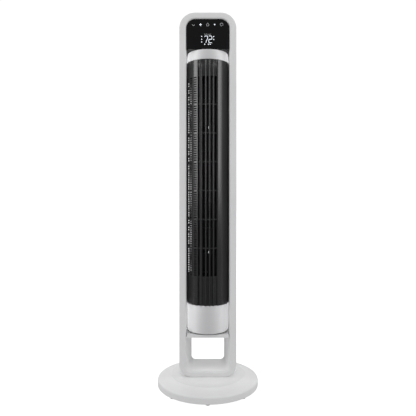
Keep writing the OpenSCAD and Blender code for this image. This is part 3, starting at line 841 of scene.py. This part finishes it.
def plate(stations):
    """A closed plate through (path in XZ, depth Y), with flat ends."""
    points = [(x, y, z) for path, y in stations for x, z in path]
    n = len(stations[0][0])
    faces = strips(n, len(stations), False, True)
    faces.append(tuple(range(n)))
    faces.append(tuple((len(stations) - 1) * n + i for i in range(n)))
    return points, faces


LENS_EXTRA = 0.7 * MM       # the shown lens fills the opening at its sides
LENS_EDGE = ((0.7, 0), (0.3, 0.1), (0.08, 0.35), (0, 0.8))      # (inset, depth), polished edge


def lens_skin():
    """Smoked control panel with polished edges, round at its two upper corners."""
    half, z0, z1 = LENS_HIGH[0] + LENS_EXTRA, LENS_LOW[2], LENS_HIGH[2]
    front, back = LENS_LOW[1], LENS_HIGH[1]

    def edge(d):
        return loop_path(half - d, z0 + d, z1 - d, 1.2 * MM - d, IN_TOP_R - 0.8 * MM - d, 16)

    stations = [(edge(inset * MM), front + deep * MM) for inset, deep in LENS_EDGE]
    lens = make("lens_skin", *plate(stations + [(edge(0), back)]), 30)
    return place(lens, "stand", "panel_lens", "control_panel_lens")


def stroke(shape, line, width, front, depth, closed=False):
    """A raised line of one width along points in XZ, in millimetres from the origin."""
    n = len(line)
    left, right = [], []
    for i, (x, z) in enumerate(line):
        before = line[i - 1] if i or closed else line[i]
        after = line[(i + 1) % n] if i < n - 1 or closed else line[i]
        dx, dz = after[0] - before[0], after[1] - before[1]
        length = math.hypot(dx, dz)
        nx, nz = -dz / length * width / 2, dx / length * width / 2
        left.append((x + nx, z + nz))
        right.append((x - nx, z - nz))
    points = [(x * MM, y, z * MM)
              for y in (front, front + depth) for side in (left, right) for x, z in side]
    faces = []
    for i in range(n if closed else n - 1):
        j = (i + 1) % n
        faces += [(i, j, n + j, n + i), (2 * n + i, 3 * n + i, 3 * n + j, 2 * n + j),
                  (i, 2 * n + i, 2 * n + j, j), (n + i, n + j, 3 * n + j, 3 * n + i)]
    if not closed:
        for i in (0, n - 1):
            faces.append((i, n + i, 3 * n + i, 2 * n + i))
    shape.add(points, faces)


def patch(shape, outline, front, depth):
    """A raised flat form from an outline in XZ, in millimetres."""
    n = len(outline)
    points = [(x * MM, y, z * MM) for y in (front, front + depth) for x, z in outline]
    faces = strips(n, 2, False, True)
    shape.add(points, faces + [tuple(range(n)), tuple(range(n, 2 * n))])


def spot(shape, x, z, r, front, depth, steps=20):
    """A raised round dot."""
    patch(shape, fillet(x, z, r, 0, 360 - 360 / steps, steps - 1), front, depth)


MARK_PLACES = (-0.683, -0.349, -0.007, 0.326, 0.66)     # across half the lens
BLADE = [(0.2, -0.4), (1.8, -1.1), (3.7, -0.5), (2.7, 0.5), (0.9, 0.5)]
BLADES, BLADE_TURN = 4, 8


def fan_mark(shape, x, z, front, depth):
    """Four small fan blades round a point."""
    for k in range(BLADES):
        a = math.radians(90 * k + BLADE_TURN)
        blade = [(x + u * math.cos(a) - v * math.sin(a), z + u * math.sin(a) + v * math.cos(a))
                 for u, v in BLADE]
        patch(shape, blade, front, depth)


def touch_marks():
    """Five printed marks above the touch springs: wave, fan, drop, dot and night light."""
    low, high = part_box("touch_icons")
    front, depth = low[1], high[1] - low[1]
    z = (low[2] + high[2]) / 2 / MM
    wave, fan, drop, dot, night = [(LENS_HIGH[0] / MM) * k for k in MARK_PLACES]
    faint, bright = Shape(), Shape()
    stroke(faint, fillet(wave, z + 1.2, 3.6, 195, 345, 18), 0.9, front, depth)
    fan_mark(bright, fan, z, front, depth)
    outline = fillet(drop, z - 0.8, 3.2, 150, 390, 24) + [(drop, z + 4.6)]
    stroke(faint, outline, 0.7, front, depth, closed=True)
    spot(bright, dot, z, 1.7, front, depth)
    left, right = (night - 3.3, z - 3.2), (night + 3.3, z - 3.2)
    stroke(faint, [left] + fillet(night, z + 0.6, 3.5, 200, -20, 24) + [right], 0.8, front, depth)
    stroke(faint, [(night - 1.6, z - 3.4), (night + 1.6, z - 3.4)], 0.8, front, depth)
    place(faint.object("touch_marks"), "stand", "icon_print", "touch_icons")
    place(bright.object("touch_marks_on"), "stand", "display")


# The display in millimetres: height of its digits, width of their strokes and places of its spots.
DIGIT_Z0, DIGIT_Z1, DIGIT_STROKE = 934.4, 952.6, 1.2
SPOT_R = 1.3
SPOTS = ((-16.4, 951.4), (-16.4, 943.7), (-16.4, 936.4), (15.8, 951.0), (15.8, 943.3),
         (-8.3, 930.3), (1.6, 930.3), (6.4, 930.3))
DASHES, DASH_X, DASH_Z, DASH_STEP, DASH_LONG, DASH_STROKE = 7, -9.6, 957.2, 2.75, 1.7, 1.1
PRINT = 0.15 * MM


def display_digits():
    """Two digits of the display with the small lights round them."""
    front = LENS_LOW[1] - PRINT
    shown = Shape()
    z0, z1 = DIGIT_Z0, DIGIT_Z1
    half = (z0 + z1) / 2
    seven = [(-8.2, z1 - 2.6), (-8.0, z1 - 0.6), (-6.6, z1), (-1.8, z1), (-0.4, z1 - 1.4),
             (-0.5, half + 1.6), (-2.6, half - 1.2), (-4.6, z0 + 3.4), (-5.0, z0)]
    two = [(2.6, z1), (9.4, z1), (10.8, z1 - 1.4), (10.8, half + 1.2), (9.6, half), (4.0, half),
           (2.6, half - 1.2), (2.6, z0 + 1.2), (4.0, z0), (10.8, z0)]
    stroke(shown, seven, DIGIT_STROKE, front, PRINT)
    stroke(shown, two, DIGIT_STROKE, front, PRINT)
    for x, z in SPOTS:
        spot(shown, x, z, SPOT_R, front, PRINT)
    place(shown.object("display_digits"), "stand", "display")
    dashes = Shape()
    for k in range(DASHES):
        x = DASH_X + DASH_STEP * k
        stroke(dashes, [(x, DASH_Z), (x + DASH_LONG, DASH_Z)], DASH_STROKE, front, PRINT)
    place(dashes.object("display_dashes"), "stand", "icon_print")


# ---------- column ----------

RIBS = ((-22.7, -16.0), (-7.6, -3.8), (2.9, 7.0), (13.8, 17.7))     # upright ribs, in degrees
PANEL_LEFT, PANEL_RIGHT = -27.3, 100.0
OUTLET_RIGHT = 26.0
DEEP = 6.0 * MM             # depth of the upright ribs
SHALLOW = 4.0 * MM          # the same in the closed parts above and below the outlet
BACKED = 3.3 * MM           # how far the gaps are sunk in the closed parts
OUTLET_Z0 = RIB_Z0
OUTLET_Z1 = RIB_Z0 + BAYS * BAY
BESIDE = 0.25               # degrees between a rib's edge and the gap beside it
RIB_INSETS = (0, 0.25, 0.6, 1.0, 1.5, 2.0)      # millimetres in from a rib's edge
CROSS_RIB = ((-1.6, 2.9), (-1.3, 2.3), (-0.8, 2.0), (0, 1.9), (0.8, 2.0), (1.3, 2.3), (1.6, 2.9))
CROSS_HALF = 1.6 * MM
BAY_MARKS = (0.25, 0.5, 0.75)
END = 0.6 * MM              # height of the rounding at the mouldings' ends
END_DROP = 0.7 * MM
EDGE_DROP = 0.9 * MM
TOP_STEPS, TOP_SUNK, LAST_SUNK = 8, 0.8 * MM, 1.4 * MM


def rib_shape(t, width):
    """How far a rib's face is sunk, t mm in from its edge."""
    return 1.5 * MM * (1 - min(1.0, t / min(1.9, width / 2))) ** 2


def end_drop(z):
    """How far a moulding's face is drawn in at its rounded ends."""
    d = min(z - COLUMN_Z0, COLUMN_Z1 - z)
    return END_DROP * max(0.0, 1 - d / END) ** 2


def louvre_columns():
    """Angles of the louvre's grid, each with how far the face is sunk; None inside a gap."""
    columns = [(PANEL_LEFT, EDGE_DROP), (PANEL_LEFT + BESIDE, None)]
    degree = math.degrees(MM / COLUMN_R)
    for start, stop in (*RIBS, (OUTLET_RIGHT, PANEL_RIGHT)):
        width = (min(stop, start + 20) - start) / degree
        insets = [d for d in RIB_INSETS if d < width / 2]
        columns += [(start - BESIDE, None)]
        columns += [(start + d * degree, rib_shape(d, width)) for d in insets]
        if stop == PANEL_RIGHT:
            columns += [(a, 0.0) for a in breaks([start + 2.2 * degree, 40, PANEL_RIGHT], 1.5)[1:]]
            continue
        columns += [((start + stop) / 2, rib_shape(width / 2, width))]
        columns += [(stop - d * degree, rib_shape(d, width)) for d in reversed(insets)]
        columns += [(stop + BESIDE, None)]
    return columns


def louvre_heights():
    """Heights of the louvre's grid, each with how far a gap is sunk there."""
    rows = [(COLUMN_Z0, BACKED), (COLUMN_Z0 + END, BACKED)]
    rows += [(z, BACKED) for z in breaks([COLUMN_Z0 + 8 * MM, OUTLET_Z0 - 3 * MM], 12 * MM)]
    for k in range(BAYS + 1):
        z = RIB_Z0 + k * BAY
        rows += [(z + dz * MM, sunk * MM) for dz, sunk in CROSS_RIB]
        if k < BAYS:
            rows += [(z + BAY * t, BACKED) for t in BAY_MARKS]
    top = OUTLET_Z1 + 3 * MM
    high = COLUMN_Z1 - END - top
    for i in range(TOP_STEPS + 1):
        t = i / TOP_STEPS
        rows.append((top + high * t, BACKED + (TOP_SUNK - BACKED) * t ** 0.8))
    rows.append((COLUMN_Z1, LAST_SUNK))
    return rows


def louvre_panel():
    """The outlet's upright and cross ribs and the column's plain right side, in one moulding."""
    columns, rows = louvre_columns(), louvre_heights()
    angles, heights = [c[0] for c in columns], [r[0] for r in rows]
    sunk_at, gap_at = dict(columns), dict(rows)
    solid = list(RIBS) + [(OUTLET_RIGHT, PANEL_RIGHT)]

    def outer(a, z):
        sunk = sunk_at[a]
        if sunk is None:
            return COLUMN_R - gap_at[z]
        return COLUMN_R - max(min(sunk, gap_at[z]), end_drop(z))

    def inner(a, z):
        if a > OUTLET_RIGHT + 1.5:
            return COLUMN_R - WALL
        in_outlet = OUTLET_Z0 - 2 * MM < z < OUTLET_Z1 + 2 * MM
        return COLUMN_R - (DEEP if in_outlet else SHALLOW)

    def is_hole(a, z):
        ribbed = any(start - BESIDE < a < stop + BESIDE for start, stop in solid)
        if a < PANEL_LEFT + BESIDE or ribbed:
            return False
        k = round((z - RIB_Z0) / BAY)
        return OUTLET_Z0 < z < OUTLET_Z1 and abs(z - RIB_Z0 - k * BAY) > CROSS_HALF

    panel = make("louvre_panel", *perforated(angles, heights, is_hole, outer, inner), 30)
    return place(panel, "column", "black_plastic", "column_front_panel")


SLOT_PITCH = 15.0           # degrees between the columns of slots
SLOT_SPAN = 9.5
SLOT_FIRST = -31.0
SLOT_COLUMNS = 15
SLOT_HIGH = 3.2 * MM
ROW_PITCH = 6.17 * MM
ROW_FIRST = 1.5 * MM        # above a cross rib
ROW_GAP = (ROW_PITCH - SLOT_HIGH) / 2
THIN = 1.6 * MM             # the grille is thinner than the rest of the wall
SLIM, SLIM_AT = (-125.5, -121.0), 6             # a slimmer column beside a stiffening strip
CLOSED_AT = 13                                  # no slots here
TALL_FROM = -98.0                               # behind this angle three rows run together
TALL_ROWS = 3
GRILLE_START, GRILLE_STOP = PANEL_RIGHT + 0.3 - 360, PANEL_LEFT - 0.3
ROUND = 0.5                 # width of the rounding at upright edges, in degrees


def slot_columns():
    """Angles where each column of slots starts and ends."""
    columns = []
    for k in range(SLOT_COLUMNS):
        end = SLOT_FIRST - k * SLOT_PITCH
        columns.append((end - SLOT_SPAN, end))
    columns[SLIM_AT] = SLIM
    del columns[CLOSED_AT]
    return columns


def slot_heights():
    """Heights of the grille's grid, with marks at and just inside each slot's ends."""
    marks = [COLUMN_Z0, COLUMN_Z0 + END, COLUMN_Z1 - END, COLUMN_Z1]
    for bay in range(BAYS):
        for k in range(SLOT_ROWS):
            z = RIB_Z0 + bay * BAY + ROW_FIRST + (k + 0.5) * ROW_PITCH - SLOT_HIGH / 2
            marks += [z, z + SLOT_HIGH, z + 0.5 * MM, z + SLOT_HIGH - 0.5 * MM]
    return breaks(marks, 30 * MM)


def in_slot(a, z):
    """Whether a height lies in a slot; at the back rows run together, but for the slim column."""
    bay = math.floor((z - RIB_Z0) / BAY)
    if not 0 <= bay < BAYS:
        return False
    k, part = divmod(z - RIB_Z0 - bay * BAY - ROW_FIRST, ROW_PITCH)
    if not 0 <= k < SLOT_ROWS:
        return False
    above, below = part > ROW_PITCH - ROW_GAP, part < ROW_GAP
    if a < TALL_FROM and not SLIM[0] < a < SLIM[1]:
        k = k % TALL_ROWS
        return not (k == 0 and below or k == TALL_ROWS - 1 and above)
    return ROW_GAP < part < ROW_PITCH - ROW_GAP


def intake_grille():
    """Left side and back of the column: seven bays of twelve rows of slots between cross ribs."""
    columns = slot_columns()
    start, stop = GRILLE_START, GRILLE_STOP
    edges = [start, start + ROUND, stop - ROUND, stop]
    for a, b in columns:
        edges += [a, a + 0.5, b - 0.5, b]

    def outer(a, z):
        side = EDGE_DROP * max(0.0, 1 - min(a - start, stop - a) / ROUND) ** 2
        return COLUMN_R - max(end_drop(z), side)

    def inner(a, z):
        thick = a > SLOT_FIRST + 1 or not OUTLET_Z0 < z < OUTLET_Z1
        return COLUMN_R - (WALL if thick else THIN)

    def is_hole(a, z):
        return any(low < a < high for low, high in columns) and in_slot(a, z)

    wall = perforated(breaks(edges, 1.8), slot_heights(), is_hole, outer, inner)
    grille = make("intake_grille_skin", *wall, 30)
    return place(grille, "column", "black_plastic", "column_intake_grille")


def trim_ring(name, section, node):
    """A silver ring of the column from its outline in millimetres."""
    ring = make(name, *turned(in_metres(section), steps=192), 40)
    return place(ring, "column", "silver_trim", node)


def collar_skin():
    """Silver collar with rounded edges, and a lip that the black shell fits over."""
    z0, z1 = COLUMN_Z1 / MM, COLLAR_TOP / MM
    r = TRIM_R / MM
    section = [(19, z1 - 2.5), (19, z1)]
    section += fillet(r - 1.5, z1 - 1.5, 1.5, 90, 0) + fillet(r - 1.2, z0 + 1.3, 1.2, 0, -90)
    section += [(r - 2.2, z0 + 0.1), (r - 2.6, z0 - 0.6), (r - 2.6, z0 - 9.5)]
    section += [(r - 4.6, z0 - 9.5), (r - 4.6, z1 - 2.5)]
    return trim_ring("collar_skin", section, "top_collar")


def skirt_skin():
    """Silver skirt under the louvres, smooth all round, with the same kind of lip."""
    z0, z1 = SKIRT_Z / MM, COLUMN_Z0 / MM
    r = TRIM_R / MM
    section = [(r - 5, z0 + 0.6)]
    section += fillet(r - 4.4, z0 + 0.6, 0.6, 180, 270, 3) + fillet(r - 1.8, z0 + 1.8, 1.8, -90, 0)
    section += fillet(r - 1.2, z1 - 1.3, 1.2, 0, 90)
    section += [(r - 2.2, z1 - 0.1), (r - 2.6, z1 + 0.6), (r - 2.6, z1 + 9.5), (r - 5, z1 + 9.5)]
    return trim_ring("skirt_skin", section, "bottom_skirt")


WHEEL_RINGS, WHEEL_BLADES, CHORD = 8, 30, 7
BLADE_START = 0.07          # in blade pitches
BLADE_IN, BLADE_OUT = WHEEL_R - 9.5 * MM, WHEEL_R - 0.4 * MM
DISC = 1.0 * MM             # half thickness of a disc
DISC_EDGE = 0.3 * MM
SHAFT_HOLE = 15 * MM


def blade_outline(turn):
    """A forward-curved blade, thickest in the middle, as (angle, radius)."""
    front, back = [], []
    for i in range(CHORD):
        t = i / (CHORD - 1)
        r = BLADE_IN + (BLADE_OUT - BLADE_IN) * t
        a = turn + 9.5 * t ** 1.8 - 2.5 * t
        half = math.degrees((0.25 + 0.55 * math.sin(math.pi * (0.12 + 0.76 * t))) * MM / r)
        front.append((a + half, r))
        back.append((a - half, r))
    return front + back[::-1]


def blade_ring(wheel, order, low, high):
    """One ring of blades, turned by half a pitch from the rings beside it."""
    for k in range(WHEEL_BLADES):
        outline = blade_outline(360 * (k + BLADE_START + order / 2) / WHEEL_BLADES)
        n = len(outline)
        points = [polar(a, r, z) for z in (low, high) for a, r in outline]
        wheel.add(points, strips(n, 2, False, True) + [tuple(range(n)), tuple(range(n, 2 * n))])


def wheel_disc(wheel, z, first, last):
    """A disc between two rings of blades, or an end plate with a hole for its shaft."""
    low, high = z - (0 if first else DISC), z + (0 if last else DISC)
    hole = SHAFT_HOLE if first or last else BLADE_IN - 1.5 * MM
    near = WHEEL_R - DISC_EDGE
    section = [(hole, low), (near, low), (WHEEL_R, low + DISC_EDGE),
               (WHEEL_R, high - DISC_EDGE), (near, high), (hole, high)]
    wheel.add(*turned(section, steps=96))


def impeller_skin():
    """Cross-flow wheel: eight rings of forward-curved blades between thin discs."""
    step = (WHEEL_Z1 - WHEEL_Z0) / WHEEL_RINGS
    wheel = Shape()
    for k in range(WHEEL_RINGS):
        low = WHEEL_Z0 + k * step + 0.9 * MM
        blade_ring(wheel, k, low, low + step - 1.8 * MM)
    for k in range(WHEEL_RINGS + 1):
        wheel_disc(wheel, WHEEL_Z0 + k * step, k == 0, k == WHEEL_RINGS)
    return place(wheel.object("impeller_skin", 30), "impeller", "impeller", "impeller_wheel")


# ---------- the whole scene ----------

def build():
    """Every piece, and then the lights that reach only some of them."""
    finish_nodes()
    base = base_skin()
    feet_skin()
    bezel_skin()
    rear_skin()
    tunnel = window_tunnel()
    lens_skin()
    touch_marks()
    display_digits()
    column = [louvre_panel(), intake_grille()]
    trim = [collar_skin(), skirt_skin()]
    impeller_skin()
    light_alone(["left_window", "right_window"], [tunnel])
    light_alone(["left_base", "right_base"], [base])
    light_alone(["left_edge", "right_edge"], column)
    light_alone(["left_trim", "right_trim"], trim)


bpy.context.scene.view_settings.view_transform = "Standard"
add_camera()
add_lights()
add_floor()
build()
